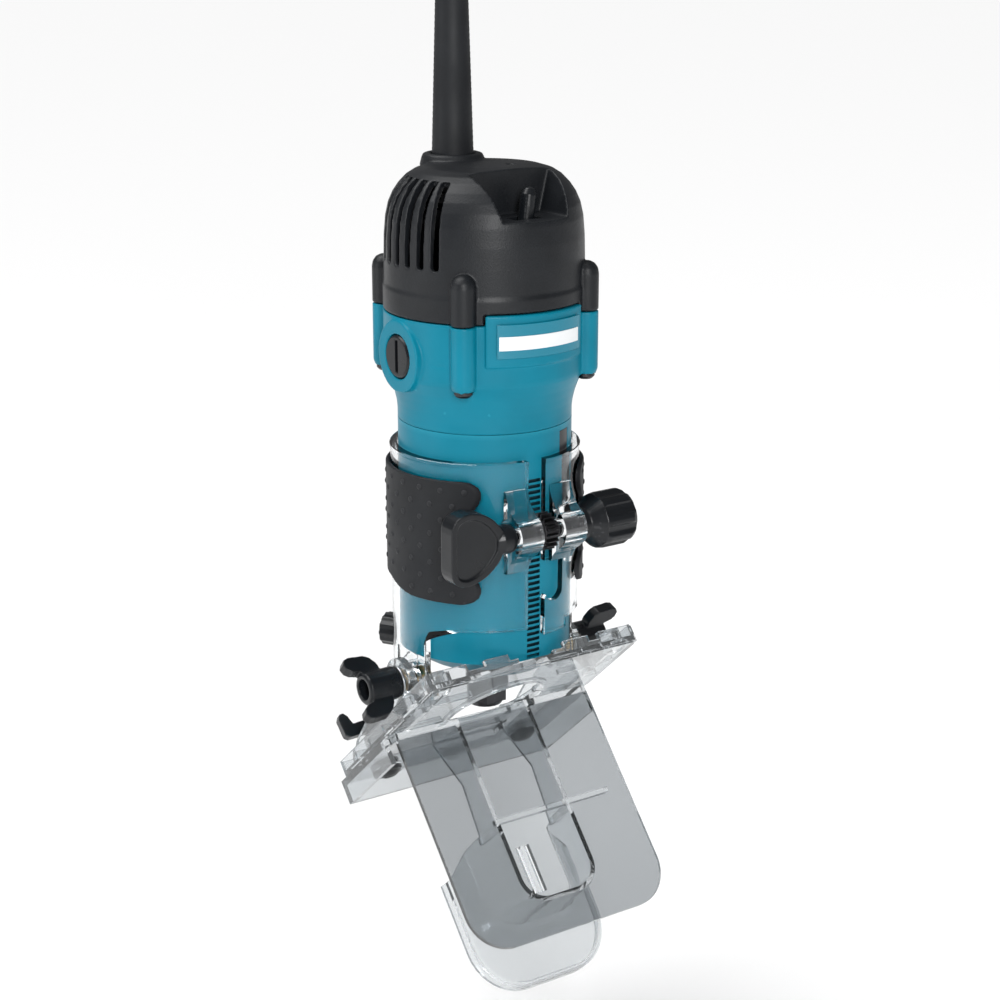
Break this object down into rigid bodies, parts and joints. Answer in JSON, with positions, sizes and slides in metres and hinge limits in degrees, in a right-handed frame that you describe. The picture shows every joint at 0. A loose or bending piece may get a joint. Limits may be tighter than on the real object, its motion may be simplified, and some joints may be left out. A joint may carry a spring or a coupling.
{
  "type": "trim router",
  "caption": "Hand-held trim router: round motor with switch, collet and cord, in a clear rack-and-pinion base with a tilting sole and chip deflector.",
  "frame": {"origin": "on the spindle axis at the middle of the grip", "axes": "+Z along the spindle towards the cord, -Y to the front with the switch and rack, +X towards the adjusting knob"},
  "size_m": [0.1316, 0.1781, 0.4307],
  "materials": {
    "teal_plastic": "satin moulded nylon, fine grain",
    "black_plastic": "spark-textured moulding",
    "rubber": "soft, raised dots",
    "cord_rubber": "matt cord jacket",
    "clear_plastic": "clear polycarbonate, polished",
    "plate_face": "blank label",
    "white_plastic": "moulded nylon",
    "steel": "machined",
    "dark_steel": "blackened",
    "brass": "turned",
    "copper": "turned copper bars",
    "carbon": "pressed carbon"
  },
  "bodies": {
    "motor": {"motor_housing": "teal_plastic", "rear_cover": "black_plastic", "name_plate": "plate_face", "depth_scale": "black_plastic", "brush_cap_left": "black_plastic", "brush_cap_right": "black_plastic", "brush_holder_left": "brass", "brush_holder_right": "brass", "carbon_brush_left": "carbon", "carbon_brush_right": "carbon", "cover_screw_1": "dark_steel", "cover_screw_2": "dark_steel", "cover_screw_3": "dark_steel", "cover_screw_4": "dark_steel", "field_stator": "steel", "air_baffle": "white_plastic", "bearing_bracket": "black_plastic", "rear_bearing": "steel", "front_bearing": "steel", "bearing_retainer": "steel", "cord_guard": "rubber", "cord_clamp": "black_plastic", "switch_body": "black_plastic", "power_cord": "cord_rubber", "cord_hank": "cord_rubber", "cord_tie": "black_plastic", "plug_lead": "cord_rubber", "mains_plug": "black_plastic"},
    "rotor": {"rotor_shaft": "steel", "armature_core": "steel", "commutator": "copper", "cooling_fan": "white_plastic", "collet_cone": "steel", "collet_nut": "dark_steel"},
    "switch": {"switch_toggle": "black_plastic"},
    "base": {"base_sleeve": "clear_plastic", "grip_left": "rubber", "grip_right": "rubber", "pivot_bush_left": "brass", "pivot_bush_right": "brass", "pivot_bolt_left": "steel", "pivot_bolt_right": "steel", "pivot_washer_left": "steel", "pivot_washer_right": "steel"},
    "pinion": {"pinion_shaft": "dark_steel", "adjusting_knob": "black_plastic"},
    "locking_screw": {"clamp_paddle": "black_plastic"},
    "guide_knob": {"guide_clamp_knob": "black_plastic"},
    "left_nut": {"wing_nut_left": "black_plastic"},
    "right_nut": {"wing_nut_right": "black_plastic"},
    "sole": {"sole_plate": "clear_plastic", "chip_deflector": "clear_plastic", "deflector_screw_1": "black_plastic", "deflector_screw_2": "black_plastic"},
    "guide_screw": {"guide_wing_screw": "black_plastic"}
  },
  "joints": [
    {"name": "base_slide", "type": "slide", "parent": "motor", "child": "base", "axis": [0, 0, -1], "range_m": [0, 0.035]},
    {"name": "sole_tilt", "type": "hinge", "parent": "base", "child": "sole", "pos_m": [0, 0, -0.065], "axis": [1, 0, 0], "range_deg": [0, 42]},
    {"name": "rotor_spin", "type": "hinge", "parent": "motor", "child": "rotor", "pos_m": [0, 0, 0], "axis": [0, 0, 1], "continuous": true},
    {"name": "switch_rock", "type": "hinge", "parent": "motor", "child": "switch", "pos_m": [0, -0.025, 0.102], "axis": [0, 1, 0], "range_deg": [-16, 0]},
    {"name": "pinion_turn", "type": "hinge", "parent": "base", "child": "pinion", "pos_m": [0, -0.0389, -0.002], "axis": [1, 0, 0], "range_deg": [0, 320]},
    {"name": "locking_screw_turn", "type": "hinge", "parent": "base", "child": "locking_screw", "pos_m": [0, -0.0389, -0.002], "axis": [1, 0, 0], "range_deg": [-120, 120]},
    {"name": "guide_knob_turn", "type": "hinge", "parent": "base", "child": "guide_knob", "pos_m": [0, 0, -0.058], "axis": [-0.5299, 0.848, 0], "continuous": true},
    {"name": "left_nut_turn", "type": "hinge", "parent": "base", "child": "left_nut", "pos_m": [0, 0, -0.065], "axis": [1, 0, 0], "continuous": true},
    {"name": "right_nut_turn", "type": "hinge", "parent": "base", "child": "right_nut", "pos_m": [0, 0, -0.065], "axis": [1, 0, 0], "continuous": true},
    {"name": "guide_screw_turn", "type": "hinge", "parent": "sole", "child": "guide_screw", "pos_m": [-0.0266, 0.03716, -0.09846], "axis": [0, 0.6691, 0.7431], "range_deg": [0, 40]}
  ],
  "couplings": [
    {"joint": "pinion_turn", "follows": "base_slide", "rad_per_m": 158.67}
  ]
}
